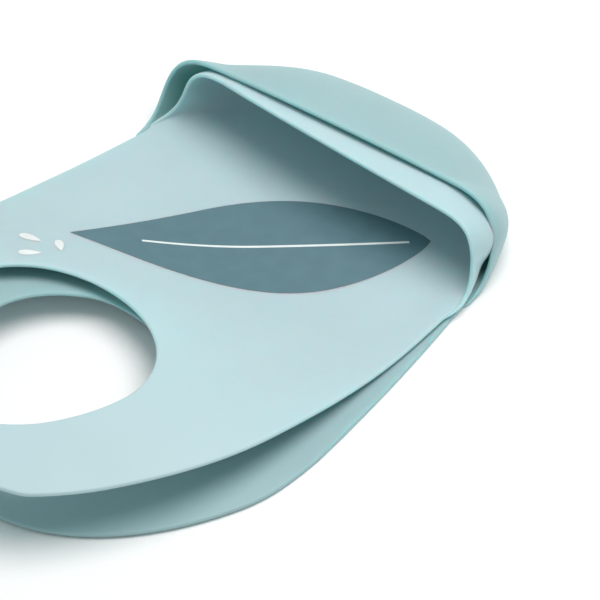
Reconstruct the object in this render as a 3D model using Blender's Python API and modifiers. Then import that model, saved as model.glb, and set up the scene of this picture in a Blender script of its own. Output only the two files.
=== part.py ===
"""A nested pair of silicone pocket bibs, lying open: a plain lower bib and a printed upper bib in its pouch.

Each bib has its own plan frame: the neck hole is centred on its origin, +Y runs down the chest to the pouch,
and +Z is up. The lower bib's frame is the world's, moved by CENTRE so that the world's origin is under the
middle of the pair. The upper bib is turned and bent a little in plan, and slips out towards the neck.
"""

import math

import bmesh
import bpy
import numpy as np
from mathutils import Matrix, Vector

MM = 0.001
DEG = math.radians(1)

# Moulding
WALL = 2.2 * MM
GAP = 0.35 * MM

# Neck hole: a half ellipse in front of its centre and a longer one behind it
NECK_HALF_WIDTH = 53.5 * MM
NECK_FRONT = 47 * MM
NECK_BACK = 60.5 * MM

# Free outer edge: a half ellipse round the shoulders and a long flat one down to the pouch
EDGE_HALF_WIDTH = 104.5 * MM
EDGE_WIDEST_Y = 40 * MM
EDGE_BACK = 138 * MM
EDGE_FRONT = 350 * MM
POUCH_START_Y = 150 * MM
POUCH_MID_Y = 172 * MM
FLOOR_POWER = 2.6
FLOOR_SQUEEZE = 0.97

# Straps: each narrows to a round tip, and the tips stand apart behind the neck
TAPER_EASE = 0.15
POUCH_TO_Q = 0.45
STRAP_FROM_Q = 0.7
APRON_TO_Q = 0.93
STRAP_TIP_FROM = 0.7
TIP_SWEEP = 80 * DEG
HOLE_PITCH = 11 * MM
HOLE_RADIUS = 3.6 * MM
HOLE_COUNT = 3
HOLE_CUT_DEPTH = 16 * MM
FIRST_STATION = 0.5 * MM
STUD_COUNT = 2
STUD_STEM_RADIUS = 2.5 * MM
STUD_HEAD_RADIUS = 4.4 * MM
STUD_STEM_HEIGHT = 2.8 * MM
STUD_HEAD_HEIGHT = 2.0 * MM
STATION_STEPS = 80

# Sheet divisions, along and across. The upper panel is long and curved, so it has more rows than the lower.
APRON_COLUMNS = 48
LOWER_APRON_ROWS = 8
UPPER_APRON_ROWS = 12
POUCH_GRID = (40, 7)
STRAP_GRID = (16, 4)

# The lower neck hole's centre in the world
CENTRE = (5.8 * MM, -74.9 * MM)

# Where each bib's panel ends and its straps begin, a straight line across both shoulders in world coordinates
LOWER_ROOT_Y = CENTRE[1] - 42 * MM
UPPER_ROOT_Y = CENTRE[1] - 31 * MM
ROOT_GAP = 0.6 * MM
HINGE_ABOVE = 0.5 * MM

# Pairs are for the +X side, which has the studs, and for the -X side, which has the holes.
# A taper runs from one polar angle round the neck to another, and ends at this share of the panel's breadth.
LOWER = dict(
    width=1.0, sweep=(92 * DEG, 62 * DEG), taper=(84 * DEG, 165 * DEG, 0.52),
    floor=2.2 * MM, lift=(20 * MM, 20 * MM), rise_from=117 * MM, rise_to=-21 * MM,
    fall=(0.93, 0.2), roll=0.0, turn=0.0, bend=0.0, at=(0.0, 0.0), floor_end=222 * MM,
    rim_half=92 * MM, rim_bulge=101 * MM, rim_y=178.5 * MM, rim_round=20 * MM, rim_height=43.5 * MM,
    mid_y=175 * MM, mid_height=45.5 * MM, start_run=16 * MM,
    foot=(0.0, 0.49), brow=(0.04, 0.95), brow_slope=10 * DEG,
)
UPPER = dict(
    width=0.985, sweep=(68 * DEG, 62 * DEG), taper=(128 * DEG, 160 * DEG, 0.62),
    floor=5.4 * MM, lift=(28 * MM, 28 * MM), rise_from=127 * MM, rise_to=-28 * MM,
    fall=(0.3, 0.75), roll=0.004, turn=5 * DEG, bend=8 * DEG, at=(3.5 * MM, -6 * MM), floor_end=213 * MM,
    rim_half=90 * MM, rim_bulge=93.5 * MM, rim_y=176.5 * MM, rim_round=25 * MM, rim_height=37 * MM,
    mid_y=172 * MM, mid_height=39.8 * MM, start_run=22 * MM,
    foot=(0.0, 0.46), brow=(0.02, 0.9), brow_slope=10 * DEG,
)
BEND_LENGTH = 270 * MM
LIFT_BLEND = 60 * MM
RIM_SPLIT = 0.55
CORNER_PHI = 52 * DEG
CORNER_DROP = 2 * MM
SIDE_SLOPE = 70 * DEG
FRONT_GAIN = 1.15

# A pouch's sheet stops this short of its floor and of the side edges, so that it doesn't touch the panel
WALL_START = 0.02
WALL_INSET = 0.012

# Print on the upper bib, in that bib's plan: a leaf with its stalk towards the pouch, and drops by its tip
INK = 0.3 * MM
INLAY_GAP = 0.3 * MM
PRINT_CELL = 8 * MM
SMALL_PRINT_CELL = 6 * MM
LEAF_STALK = (60 * MM, 186 * MM)
LEAF_TIP = (-57 * MM, 62 * MM)
LEAF_HALF_WIDTH = 33 * MM
LEAF_LEAN = 0.8
LEAF_STEPS = 16
VEIN_WIDTH = 1.4 * MM
VEIN_FROM = 0.06
VEIN_TO = 0.8
DROP_FATNESS = 0.27
DROPS = ((-63, 43, 12, 200), (-52, 34, 11, 235), (-50, 50, 10, 150))

SILICONE_LIGHT = (0.545, 0.730, 0.753)
SILICONE_SHADE = (0.500, 0.690, 0.700)
PRINT_SLATE = (0.160, 0.280, 0.325)
PRINT_WHITE = (0.800, 0.850, 0.840)


def smooth(t):
    t = min(max(t, 0.0), 1.0)
    return t * t * (3 - 2 * t)


def mix(a, b, t):
    return a + (b - a) * t


def eased(t):
    """Runs from 0 to 1, gently at first and then straight."""
    t = min(max(t, 0.0), 1.0)
    bent = t * t / (2 * TAPER_EASE) if t < TAPER_EASE else t - TAPER_EASE / 2
    return bent / (1 - TAPER_EASE / 2)


class Bib:
    """One bib's mid-air surface: its upper and inner face, as functions of plan position."""

    def __init__(self, **shape):
        self.__dict__.update(shape)

    def half_width(self, y):
        reach = EDGE_BACK if y < EDGE_WIDEST_Y else EDGE_FRONT
        return self.width * EDGE_HALF_WIDTH * math.sqrt(max(1 - ((y - EDGE_WIDEST_Y) / reach) ** 2, 0))

    def height(self, x, y):
        across = abs(x) / EDGE_HALF_WIDTH
        fall = self.fall[0] if x > 0 else self.fall[1]
        rise = smooth((self.rise_from - y) / (self.rise_from - self.rise_to))
        lift = mix(self.lift[1], self.lift[0], smooth(x / LIFT_BLEND))
        return self.floor + lift * rise * (1 - fall * across**3) - self.roll * x

    def world(self, x, y, z):
        """Turns about the pouch, and bends sideways more and more towards the neck."""
        if self.bend == 0:
            return Vector((CENTRE[0] + x, CENTRE[1] + y, z))
        rate = self.bend / BEND_LENGTH
        angle = self.turn + rate * (POUCH_MID_Y - y)
        centre_x = CENTRE[0] + self.at[0] + (math.cos(angle) - math.cos(self.turn)) / rate
        centre_y = CENTRE[1] + self.at[1] + POUCH_MID_Y + (math.sin(self.turn) - math.sin(angle)) / rate
        return Vector((centre_x + x * math.cos(angle), centre_y - x * math.sin(angle), z))

    def panel(self, x, y):
        return self.world(x, y, self.height(x, y))

    def floor_edge(self, phi):
        """Where the pouch floor ends and its wall rises, from the side (0) to the middle (90 degrees)."""
        across = max(math.cos(phi), 0) ** (2 / FLOOR_POWER)
        along = math.sin(phi) ** (2 / FLOOR_POWER)
        side = self.half_width(POUCH_START_Y)
        squeeze = mix(FLOOR_SQUEEZE, 1.0, across**6)
        return side * across * squeeze, mix(POUCH_START_Y, self.floor_end, along)

    def rim(self, s, side):
        """The pouch's free rim, from where it leaves the side edge (0) to the middle (1), at x > 0."""
        x0 = self.half_width(POUCH_START_Y)
        z0 = self.height(side * x0, POUCH_START_Y)
        top = self.rim_height - self.roll * side * self.rim_half
        if s <= RIM_SPLIT:
            corner = self.rim_y - CORNER_DROP
            cage = (
                (x0, POUCH_START_Y, z0),
                (x0, POUCH_START_Y + self.start_run, z0),
                (self.rim_bulge, corner, z0 + CORNER_DROP),
                (self.rim_bulge, corner, top - CORNER_DROP),
                (self.rim_half, self.rim_y, top),
                (self.rim_half - self.rim_round, self.rim_y, top),
            )
            t = s / RIM_SPLIT
            weights = [math.comb(5, i) * t**i * (1 - t) ** (5 - i) for i in range(6)]
            return Vector([sum(w * p[axis] for w, p in zip(weights, cage)) for axis in range(3)])
        straight = self.rim_half - self.rim_round
        x = straight * (1 - s) / (1 - RIM_SPLIT)
        k = (x / straight) ** 2
        return Vector((x, mix(self.mid_y, self.rim_y, k), mix(self.mid_height, top, k)))

    def wall(self, s, t):
        """The pouch wall, from floor (t = 0) to rim (t = 1) and from the +X side (s = 0) to the -X side."""
        side = 1 if s < 0.5 else -1
        s = 1 - abs(2 * s - 1)
        phi = CORNER_PHI * s / RIM_SPLIT
        if s > RIM_SPLIT:
            phi = mix(CORNER_PHI, 90 * DEG, (s - RIM_SPLIT) / (1 - RIM_SPLIT))
        x, y = self.floor_edge(phi)
        foot = Vector((x, y, self.height(side * x, y)))
        rim = self.rim(s, side)
        outward = Vector((math.cos(phi), math.sin(phi), 0))
        rise = (rim - foot).length
        front = smooth(phi / (90 * DEG) * FRONT_GAIN)
        slope = mix(SIDE_SLOPE, self.brow_slope, front)
        reach = mix(self.brow[0], self.brow[1], front) * rise
        low = foot + outward * mix(self.foot[0], self.foot[1], front) * rise
        high = rim + outward * reach * math.cos(slope) - Vector((0, 0, reach * math.sin(slope)))
        p = foot * (1 - t) ** 3 + low * 3 * t * (1 - t) ** 2 + high * 3 * t**2 * (1 - t) + rim * t**3
        return self.world(side * p.x, p.y, p.z)

    def outer(self, q, side):
        """The panel's outer boundary in plan at x > 0, from the middle of the pouch (0) to the strap (1)."""
        if q < POUCH_TO_Q:
            return self.floor_edge(90 * DEG * (1 - q / POUCH_TO_Q))
        if q < STRAP_FROM_Q:
            y = mix(POUCH_START_Y, EDGE_WIDEST_Y, (q - POUCH_TO_Q) / (STRAP_FROM_Q - POUCH_TO_Q))
            return self.half_width(y), y
        turned = self.sweep[0 if side > 0 else 1] * (q - STRAP_FROM_Q) / (1 - STRAP_FROM_Q)
        wide = self.width * EDGE_HALF_WIDTH
        return wide * math.cos(turned), EDGE_WIDEST_Y - EDGE_BACK * math.sin(turned)

    def neck(self, angle):
        """The neck hole's edge in plan, at this angle from +Y."""
        reach = NECK_FRONT if abs(angle) < 90 * DEG else NECK_BACK
        radius = 1 / math.hypot(math.sin(angle) / NECK_HALF_WIDTH, math.cos(angle) / reach)
        return radius * math.sin(angle), radius * math.cos(angle)

    def across(self, q, v, side):
        """A plan point of the panel at x > 0: v goes from the neck hole (0) to the outer edge (1)."""
        ox, oy = self.outer(q, side)
        angle = math.atan2(ox, oy) % (2 * math.pi)
        nx, ny = self.neck(angle)
        start, end, narrow = self.taper
        keep = mix(1, narrow, eased((angle - start) / (end - start)))
        return mix(nx, nx + (ox - nx) * keep, v), mix(ny, ny + (oy - ny) * keep, v)

    def strap(self, u, v, side):
        """A plan point of one strap at x > 0: u goes from below the shoulder (0) to the round tip (1)."""
        if u < STRAP_TIP_FROM:
            return self.across(mix(STRAP_FROM_Q, 1, u / STRAP_TIP_FROM), v, side)
        turned = (u - STRAP_TIP_FROM) / (1 - STRAP_TIP_FROM) * TIP_SWEEP
        inner = Vector(self.across(1, 0, side))
        outer = Vector(self.across(1, 1, side))
        middle = (inner + outer) / 2
        half = (outer - inner) / 2
        onward = Vector((half.y, -half.x))
        if onward.x > 0:
            onward = -onward
        p = middle + half * (2 * v - 1) * math.cos(turned) + onward * math.sin(turned)
        return p.x, p.y


def new_collection(name, hidden=False):
    collection = bpy.data.collections.new(name)
    bpy.context.scene.collection.children.link(collection)
    collection.hide_render = hidden
    return collection


def material(name, colour, roughness):
    mat = bpy.data.materials.new(name)
    mat.use_nodes = True
    shader = mat.node_tree.nodes["Principled BSDF"]
    shader.inputs["Base Color"].default_value = (*colour, 1)
    shader.inputs["Roughness"].default_value = roughness
    shader.inputs["Metallic"].default_value = 0.0
    return mat


def add_object(name, bm, collection, mat=None):
    mesh = bpy.data.meshes.new(name)
    bm.to_mesh(mesh)
    bm.free()
    mesh.shade_smooth()
    obj = bpy.data.objects.new(name, mesh)
    collection.objects.link(obj)
    if mat:
        mesh.materials.append(mat)
    return obj


def grid(columns, rows, place):
    """An open sheet of columns by rows quads. place(u, v) gives each corner's position."""
    bm = bmesh.new()
    bmesh.ops.create_grid(bm, x_segments=columns, y_segments=rows, size=0.5)
    for vertex in bm.verts:
        vertex.co = place(vertex.co.x + 0.5, vertex.co.y + 0.5)
    return bm


def keep_side(bm, y, keep_front):
    """Cuts a sheet along a line of constant world Y and keeps what is in front of it or behind it."""
    bmesh.ops.bisect_plane(
        bm, geom=bm.verts[:] + bm.edges[:] + bm.faces[:], dist=1e-6,
        plane_co=(0, y, 0), plane_no=(0, 1, 0), clear_inner=keep_front, clear_outer=not keep_front,
    )


def face_up(bm):
    """Turns the sheet so that its faces look up, or into the pouch."""
    bm.normal_update()
    if sum(face.normal.z * face.calc_area() for face in bm.faces) < 0:
        bmesh.ops.reverse_faces(bm, faces=bm.faces[:])
    bm.normal_update()


def thicken(obj):
    """The modelled surface is the upper face, and the wall lies below it."""
    solid = obj.modifiers.new("wall", "SOLIDIFY")
    solid.thickness = WALL
    solid.offset = -1
    solid.use_even_offset = False


def add_boolean(obj, operation, other):
    cut = obj.modifiers.new(operation.lower(), "BOOLEAN")
    cut.operation = operation
    cut.solver = "EXACT"
    cut.object = other


def hang(obj, pivot):
    """Moves an object's origin to its hinge and parents it to the hinge's empty."""
    obj.data.transform(Matrix.Translation(-pivot.location))
    obj.parent = pivot
    return obj


def make_pivot(name, location):
    pivot = bpy.data.objects.new(name, None)
    pivot.location = location
    parts.objects.link(pivot)
    return pivot


def make_apron(name, bib, root_y, rows, mat):
    def place(u, v):
        side = 1 if u > 0.5 else -1
        x, y = bib.across(abs(2 * u - 1) * APRON_TO_Q, v, side)
        return bib.panel(side * x, y)

    bm = grid(APRON_COLUMNS, rows, place)
    keep_side(bm, root_y + ROOT_GAP / 2, keep_front=True)
    face_up(bm)
    obj = add_object(name, bm, parts, mat)
    thicken(obj)
    return obj


def make_pouch(name, bib, mat):
    """The wall starts a little above the floor's end, so that the two solids don't touch."""

    def place(u, v):
        return bib.wall(mix(WALL_INSET, 1 - WALL_INSET, u), mix(WALL_START, 1, v))

    bm = grid(*POUCH_GRID, place)
    face_up(bm)
    obj = add_object(name, bm, parts, mat)
    thicken(obj)
    return obj


def strap_stations(bib, side, first, count):
    """Points along the strap's middle line, HOLE_PITCH apart, from this far behind the tip's centre."""
    line = [Vector(bib.strap(u, 0.5, side)) for u in np.linspace(STRAP_TIP_FROM, 0, STATION_STEPS)]
    found = []
    travelled = 0.0
    wanted = [first + i * HOLE_PITCH for i in range(count)]
    for here, after in zip(line, line[1:]):
        step = (after - here).length
        while wanted and travelled + step >= wanted[0]:
            found.append(here.lerp(after, (wanted.pop(0) - travelled) / step))
        travelled += step
    return [(side * p.x, p.y) for p in found]


def make_strap(name, bib, side, root_y, pivot, mat):
    def place(u, v):
        x, y = bib.strap(u, v, side)
        return bib.panel(side * x, y)

    bm = grid(*STRAP_GRID, place)
    keep_side(bm, root_y - ROOT_GAP / 2, keep_front=False)
    face_up(bm)
    obj = add_object(name, bm, parts, mat)
    thicken(obj)
    return hang(obj, pivot)


def cut_holes(strap, bib, side):
    for i, (x, y) in enumerate(strap_stations(bib, side, FIRST_STATION, HOLE_COUNT)):
        bm = bmesh.new()
        bmesh.ops.create_cone(
            bm, segments=16, radius1=HOLE_RADIUS, radius2=HOLE_RADIUS, depth=HOLE_CUT_DEPTH, cap_ends=True
        )
        cutter = add_object(f"cut_{strap.name}_{i + 1}", bm, cutters)
        cutter.location = bib.panel(x, y)
        cutter.hide_render = True
        cutter.display_type = "WIRE"
        add_boolean(strap, "DIFFERENCE", cutter)


def make_stud(name, bib, station, pivot, mat):
    """A mushroom stud: a stem under a domed head, turned about the strap's own upward direction."""
    x, y = station
    spread = 2 * MM
    here = bib.panel(x, y)
    normal = (bib.panel(x + spread, y) - here).cross(bib.panel(x, y + spread) - here).normalized()
    neck_z = STUD_STEM_HEIGHT
    profile = [(0, 0), (STUD_STEM_RADIUS, 0), (STUD_STEM_RADIUS, neck_z), (STUD_HEAD_RADIUS, neck_z)]
    for i in range(1, 5):
        turned = i * 22.5 * DEG
        profile.append((STUD_HEAD_RADIUS * math.cos(turned), neck_z + STUD_HEAD_HEIGHT * math.sin(turned)))
    bm = bmesh.new()
    chain = [bm.verts.new((r, 0, z)) for r, z in reversed(profile)]
    for first, second in zip(chain, chain[1:]):
        bm.edges.new((first, second))
    stud = add_object(name, bm, parts, mat)
    turn = stud.modifiers.new("turn", "SCREW")
    turn.steps = 16
    turn.render_steps = 16
    turn.use_merge_vertices = True
    turn.merge_threshold = 0.00001
    stud.parent = pivot
    stud.location = here + normal * GAP - pivot.location
    stud.rotation_mode = "QUATERNION"
    stud.rotation_quaternion = normal.to_track_quat("Z", "Y")
    return stud


def flat_mesh(name, points):
    """A closed plan outline made into a thick plate, for cutting a print from a sheet."""
    curve = bpy.data.curves.new(name, "CURVE")
    curve.dimensions = "2D"
    curve.fill_mode = "BOTH"
    curve.extrude = 4 * INK
    spline = curve.splines.new("POLY")
    spline.points.add(len(points) - 1)
    for knot, (x, y) in zip(spline.points, points):
        knot.co = (x, y, 0, 1)
    spline.use_cyclic_u = True
    outline = bpy.data.objects.new(name, curve)
    cutters.objects.link(outline)
    bpy.context.view_layer.update()
    mesh = bpy.data.meshes.new_from_object(outline.evaluated_get(bpy.context.evaluated_depsgraph_get()))
    bpy.data.objects.remove(outline, do_unlink=True)
    bm = bmesh.new()
    bm.from_mesh(mesh)
    bmesh.ops.remove_doubles(bm, verts=bm.verts, dist=1e-6)
    bmesh.ops.recalc_face_normals(bm, faces=bm.faces)
    bpy.data.meshes.remove(mesh)
    plate = add_object(name, bm, cutters)
    plate.hide_render = True
    plate.display_type = "WIRE"
    return plate


def make_print(name, bib, plate, cell, mat, holes=()):
    """A thin printed layer: a flat sheet cut to the outline, then laid along the bib's surface."""
    low = np.min([v.co[:2] for v in plate.data.vertices], axis=0) - cell / 2
    high = np.max([v.co[:2] for v in plate.data.vertices], axis=0) + cell / 2
    columns, rows = (math.ceil(size / cell) for size in high - low)
    bm = grid(columns, rows, lambda u, v: Vector((mix(low[0], high[0], u), mix(low[1], high[1], v), INK)))
    face_up(bm)
    sheet = add_object(name + "_sheet", bm, parts)
    solid = sheet.modifiers.new("ink", "SOLIDIFY")
    solid.thickness = INK
    solid.offset = -1
    add_boolean(sheet, "INTERSECT", plate)
    for hole in holes:
        add_boolean(sheet, "DIFFERENCE", hole)
    bpy.context.view_layer.update()
    mesh = bpy.data.meshes.new_from_object(sheet.evaluated_get(bpy.context.evaluated_depsgraph_get()))
    bpy.data.objects.remove(sheet, do_unlink=True)
    for vertex in mesh.vertices:
        x, y, z = vertex.co
        vertex.co = bib.world(x, y, bib.height(x, y) + GAP + z)
    bm = bmesh.new()
    bm.from_mesh(mesh)
    bmesh.ops.triangulate(bm, faces=bm.faces)
    bpy.data.meshes.remove(mesh)
    return add_object(name, bm, parts, mat)


def leaf():
    """A leaf's outline: widest nearer its stalk, and drawn out to its tip."""
    stalk = Vector(LEAF_STALK)
    tip = Vector(LEAF_TIP)
    out = (tip - stalk).normalized()
    out = Vector((-out.y, out.x)) * LEAF_HALF_WIDTH
    line = []
    for t in np.linspace(0, 1, LEAF_STEPS, endpoint=False):
        line.append(stalk.lerp(tip, t) + out * math.sin(math.pi * t**LEAF_LEAN))
    for t in np.linspace(1, 0, LEAF_STEPS, endpoint=False):
        line.append(stalk.lerp(tip, t) - out * math.sin(math.pi * t**LEAF_LEAN))
    return [tuple(p) for p in line]


def vein(clear=0.0):
    """The outline of the leaf's middle vein, with this much clearance all round."""
    stalk = Vector(LEAF_STALK)
    tip = Vector(LEAF_TIP)
    along = (tip - stalk).normalized()
    out = Vector((-along.y, along.x)) * (VEIN_WIDTH / 2 + clear)
    start = stalk.lerp(tip, VEIN_FROM) - along * clear
    end = stalk.lerp(tip, VEIN_TO) + along * clear
    return [tuple(p) for p in (start + out, start - out, end - out, end + out)]


def drop(centre, length, heading):
    """Corners of a water drop: round behind, and drawn out to a point ahead."""
    corners = []
    for a in np.linspace(0, 2 * math.pi, 20, endpoint=False):
        along = -length / 2 * math.cos(a)
        across = length * DROP_FATNESS * math.sin(a) * math.sin(a / 2)
        corners.append(
            (
                centre[0] + along * math.cos(heading) - across * math.sin(heading),
                centre[1] + along * math.sin(heading) + across * math.cos(heading),
            )
        )
    return corners


def make_prints(bib):
    blade = flat_mesh("cut_leaf", leaf())
    vein_slot = flat_mesh("cut_vein_slot", vein(INLAY_GAP))
    make_print("print_leaf", bib, blade, PRINT_CELL, slate, holes=(vein_slot,))
    line = flat_mesh("cut_vein", vein())
    make_print("print_leaf_vein", bib, line, PRINT_CELL, white)
    for i, (x, y, length, heading) in enumerate(DROPS):
        plate = flat_mesh(f"cut_drop_{i + 1}", drop((x * MM, y * MM), length * MM, heading * DEG))
        make_print(f"print_drop_{i + 1}", bib, plate, SMALL_PRINT_CELL, white)


def make_bib(prefix, bib, root_y, rows, mat):
    """One whole bib. Each strap hinges about a line across its root, level with the root's highest point."""
    make_apron(f"{prefix}_apron", bib, root_y, rows, mat)
    make_pouch(f"{prefix}_pouch", bib, mat)
    for side, kind, lift in ((1, "stud_strap", bib.lift[0]), (-1, "hole_strap", bib.lift[1])):
        pivot = make_pivot(f"{prefix}_{kind}_hinge", Vector((0, root_y, bib.floor + lift + HINGE_ABOVE)))
        strap = make_strap(f"{prefix}_{kind}", bib, side, root_y, pivot, mat)
        if kind == "hole_strap":
            cut_holes(strap, bib, side)
            continue
        for i, station in enumerate(strap_stations(bib, side, FIRST_STATION, STUD_COUNT)):
            make_stud(f"{prefix}_stud_{i + 1}", bib, station, pivot, mat)


for old in list(bpy.data.objects):
    bpy.data.objects.remove(old, do_unlink=True)

parts = new_collection("silicone_bib_pair")
cutters = new_collection("cutters", hidden=True)

lower = Bib(**LOWER)
upper = Bib(**UPPER)
lower_silicone = material("silicone_lower", SILICONE_SHADE, 0.55)
upper_silicone = material("silicone_upper", SILICONE_LIGHT, 0.55)
slate = material("print_slate", PRINT_SLATE, 0.6)
white = material("print_white", PRINT_WHITE, 0.6)

make_bib("lower", lower, LOWER_ROOT_Y, LOWER_APRON_ROWS, lower_silicone)
make_bib("upper", upper, UPPER_ROOT_Y, UPPER_APRON_ROWS, upper_silicone)
make_prints(upper)
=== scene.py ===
import math

import bmesh
import bpy
import numpy as np
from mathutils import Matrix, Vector
from mathutils.bvhtree import BVHTree
from mathutils.kdtree import KDTree


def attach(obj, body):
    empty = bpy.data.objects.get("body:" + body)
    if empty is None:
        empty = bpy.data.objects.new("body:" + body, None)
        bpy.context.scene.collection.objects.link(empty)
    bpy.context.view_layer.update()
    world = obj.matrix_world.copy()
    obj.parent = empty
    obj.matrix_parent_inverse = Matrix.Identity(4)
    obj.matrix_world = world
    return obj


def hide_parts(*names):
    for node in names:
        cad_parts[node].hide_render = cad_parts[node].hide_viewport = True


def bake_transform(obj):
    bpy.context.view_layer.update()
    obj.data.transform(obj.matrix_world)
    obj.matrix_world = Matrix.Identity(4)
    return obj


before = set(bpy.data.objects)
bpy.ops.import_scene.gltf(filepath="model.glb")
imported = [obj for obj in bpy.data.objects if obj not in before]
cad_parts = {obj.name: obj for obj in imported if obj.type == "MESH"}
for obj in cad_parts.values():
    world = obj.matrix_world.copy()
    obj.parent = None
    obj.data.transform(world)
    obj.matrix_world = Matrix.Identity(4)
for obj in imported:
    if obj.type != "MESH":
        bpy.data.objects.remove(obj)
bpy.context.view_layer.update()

# Two silicone pocket bibs lying open, a printed one nested in a plain one. Each bib has its own plan frame:
# its neck hole is centred on the origin, +Y runs down the chest to the pouch, and +Z is up.
# Lengths are in metres.

MM = 0.001
DEG = math.radians(1)

# Moulding
WALL = 2.2 * MM
HALF_WALL = WALL / 2

# Neck hole: a half ellipse in front of its centre and a longer one behind it
NECK_HALF_WIDTH = 53.5 * MM
NECK_FRONT = 47 * MM
NECK_BACK = 60.5 * MM

# Free outer edge: a half ellipse round the shoulders and a long flat one down to the pouch
EDGE_HALF_WIDTH = 104.5 * MM
EDGE_WIDEST_Y = 40 * MM
EDGE_BACK = 138 * MM
EDGE_FRONT = 350 * MM
POUCH_START_Y = 150 * MM
POUCH_MID_Y = 172 * MM
FLOOR_POWER = 2.6

# Straps
TAPER_EASE = 0.15
HOLE_PITCH = 11 * MM
HOLE_RADIUS = 3.6 * MM
HOLE_COUNT = 3
STUD_COUNT = 2
HOLE_ROUND = 0.7 * MM
CUTTER_REACH = 6 * MM
FIRST_STATION = 0.5 * MM
STUD_STEM_RADIUS = 2.5 * MM
STUD_HEAD_RADIUS = 4.4 * MM
STUD_STEM_HEIGHT = 3.15 * MM
STUD_HEAD_HEIGHT = 2.0 * MM
STUD_SUNK = 0.5 * MM
STUD_FLARE = 0.7 * MM
STUD_LIP = 0.35 * MM
STUD_UNDERCUT = 0.3 * MM
STUD_UNDERCUT_HEIGHT = 0.2 * MM

# The lower neck hole's centre in the world, and the hinge lines across the shoulders
CENTRE = (5.8 * MM, -74.9 * MM)
LOWER_ROOT_Y = CENTRE[1] - 42 * MM
UPPER_ROOT_Y = CENTRE[1] - 31 * MM
SEAM_CLEAR = 1.0 * MM

# Pairs are for the +X side, which has the studs, and for the -X side, which has the holes.
# A taper runs from one polar angle round the neck to another, and ends at this share of the panel's breadth.
# The panel lifts off the table between rise_from and rise_to, and falls away sideways.
# front says from what share of the quarter turn the pouch wall leans outward, and how fast. foot and brow
# say how far it does so at the floor and at the rim.
LOWER = dict(
    width=1.0, sweep=(92 * DEG, 62 * DEG), taper=(84 * DEG, 165 * DEG, 0.52),
    floor=2.2 * MM, lift=(1 * MM, 20 * MM), rise_from=117 * MM, rise_to=-21 * MM,
    fall=(0.93, 0.2), roll=0.0, turn=0.0, bend=0.0, at=(0.0, 0.0), floor_end=222 * MM,
    rim_half=(90 * MM, 91.5 * MM), rim_bulge=(98 * MM, 99.5 * MM), rim_y=179.5 * MM, rim_round=24 * MM,
    rim_height=40 * MM, mid_y=176 * MM, mid_height=44.5 * MM, start_run=16 * MM,
    foot=(0.0, 0.49), brow=(0.04, 0.95), brow_slope=7 * DEG, front=(0.0, 1.15), rib_height=0.0,
)
UPPER = dict(
    width=0.985, sweep=(68 * DEG, 62 * DEG), taper=(128 * DEG, 160 * DEG, 0.62),
    floor=5.4 * MM, lift=(28 * MM, 28 * MM), rise_from=127 * MM, rise_to=-28 * MM,
    fall=(0.3, 0.75), roll=0.004, turn=5 * DEG, bend=8 * DEG, at=(3.5 * MM, -6 * MM), floor_end=213 * MM,
    rim_half=(91.5 * MM, 86.5 * MM), rim_bulge=(92.5 * MM, 89 * MM), rim_y=175 * MM, rim_round=22 * MM,
    rim_height=37.5 * MM, mid_y=171.2 * MM, mid_height=40.8 * MM, start_run=22 * MM,
    foot=(0.0, 0.46), brow=(0.02, 0.98), brow_slope=1 * DEG, front=(0.2, 2.2), rib_height=0.9 * MM,
)
BEND_LENGTH = 270 * MM
LIFT_BLEND = (-30 * MM, 15 * MM)
RIM_SPLIT = 0.55
RIM_CORNER_INSET = 2 * MM
CORNER_PHI = 52 * DEG
FLOOR_SQUEEZE = 0.97
SIDE_SLOPE = 70 * DEG
POUCH_Q = 0.45
SIDE_Q = 0.7

# Mesh
COLUMN_STEP = 2.2 * MM
LINE_STEP = 1.0 * MM
PANEL_STEPS = 70
WALL_STEPS = 60
POUCH_SAMPLES = 500
STRAP_SAMPLES = 300
INNER_ROWS = 76
ROUND_STEPS = 48
TIP_COLUMNS = 12
TIP_SWEEP = 70
TIP_FLATS = 6
LEAST_SLANT = 0.45
Q_SLACK = 1e-9
SMALLEST = 1e-15
WELD = 1e-6
TIP_WELD = 2e-6
SHORTEST_EDGE = 1e-7
SAME_POINT = 4e-6
RIM_ANGLES = np.radians([0, 20, 42, 66, 90])
FILLET = 4.0 * MM

# Upright ribs inside the pouch wall, one near each corner
RIB_PHI = 50 * DEG
RIB_WIDTH = 6 * MM
RIB_SIDE = 0.5 * MM
RIB_END = 2 * MM
RIB_BELOW_RIM = 4 * MM
RIB_LENGTH = 30 * MM
RIB_COLUMNS = np.array((-1.1, -0.93, -0.8, -0.4, 0, 0.4, 0.8, 0.93, 1.1)) * RIB_WIDTH / 2

# Print on the upper bib: a leaf with its stalk towards the pouch, and drops by its tip
INK = 0.12 * MM
INK_SINK = 0.03 * MM
INK_CELL = 3 * MM
PLATE_HALF = 2 * MM
PROBE_ABOVE = 6 * MM
PROBE_LENGTH = 20 * MM
SHARP_ANGLE = 35 * DEG
LEAF_STALK = (60 * MM, 186 * MM)
LEAF_TIP = (-57 * MM, 62 * MM)
LEAF_HALF_WIDTH = 33 * MM
LEAF_LEAN = 0.8
LEAF_STEPS = 60
VEIN_WIDTH = 1.4 * MM
VEIN_FROM = 0.06
VEIN_TO = 0.8
DROP_FATNESS = 0.27
DROPS = ((-63, 43, 12, 200), (-52, 34, 11, 235), (-50, 50, 10, 150))

# Looks. Light scatters in the pouch and, from one Y to the other, less and less towards the straps.
SILICONE_ROUGH = 0.5
INK_ROUGH = 0.55
SPECULAR = 0.3
GRAIN_DEPTH = 0.1 * MM
SCATTER_RADIUS = (0.25, 1.0, 0.85)
SCATTER_SCALE = 5 * MM
SCATTER_FROM_Y = -85 * MM
SCATTER_FULL_Y = -20 * MM
SILICONE_UPPER = (0.485, 0.640, 0.673)
# Painted shade: the lower bib is the same silicone as the upper, given a darker colour for the shade it lies
# in under the upper one and for facing away from the light.
SILICONE_LOWER_PAINTED_SHADE = (0.345, 0.508, 0.530)
PRINT_SLATE = (0.110, 0.205, 0.240)
PRINT_WHITE = (0.800, 0.850, 0.840)


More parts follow.
